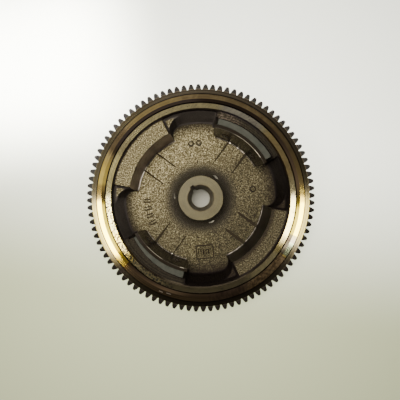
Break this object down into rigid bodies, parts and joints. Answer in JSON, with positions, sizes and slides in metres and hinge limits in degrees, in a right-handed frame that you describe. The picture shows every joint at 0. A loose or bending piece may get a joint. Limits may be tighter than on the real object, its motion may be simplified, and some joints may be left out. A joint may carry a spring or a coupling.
{
  "type": "flywheel",
  "caption": "Cup-shaped cast-iron magneto flywheel with starter ring gear, inner magnet poles, tapered keyed hub and cast fan blades.",
  "frame": {"origin": "on the crankshaft axis, level with the tips of the fan blades that the flywheel lies on", "axes": "+Z along the crankshaft axis towards the engine, out of the cup; magnet poles at 45 and 225 degrees from +X, bare iron poles at 135 and 315 degrees"},
  "size_m": [0.245, 0.245, 0.066],
  "materials": {
    "cast_iron": "bare sand-cast grey iron, turned on the rim face, pole bore and hub face",
    "gear_steel": "turned steel, straw tinted by the shrink fit, darker hardened teeth",
    "magnet": "matt grey ground magnet",
    "shoe_steel": "bored steel, thin dark brown oxide",
    "screw_steel": "machined flush, dark oxide"
  },
  "bodies": {
    "root": {"flywheel_casting": "cast_iron", "ring_gear": "gear_steel", "magnet_a": "magnet", "magnet_b": "magnet", "pole_shoe_a": "shoe_steel", "pole_shoe_b": "shoe_steel", "pole_shoe_screw_a1": "screw_steel", "pole_shoe_screw_a2": "screw_steel", "pole_shoe_screw_b1": "screw_steel", "pole_shoe_screw_b2": "screw_steel"}
  },
  "joints": []
}
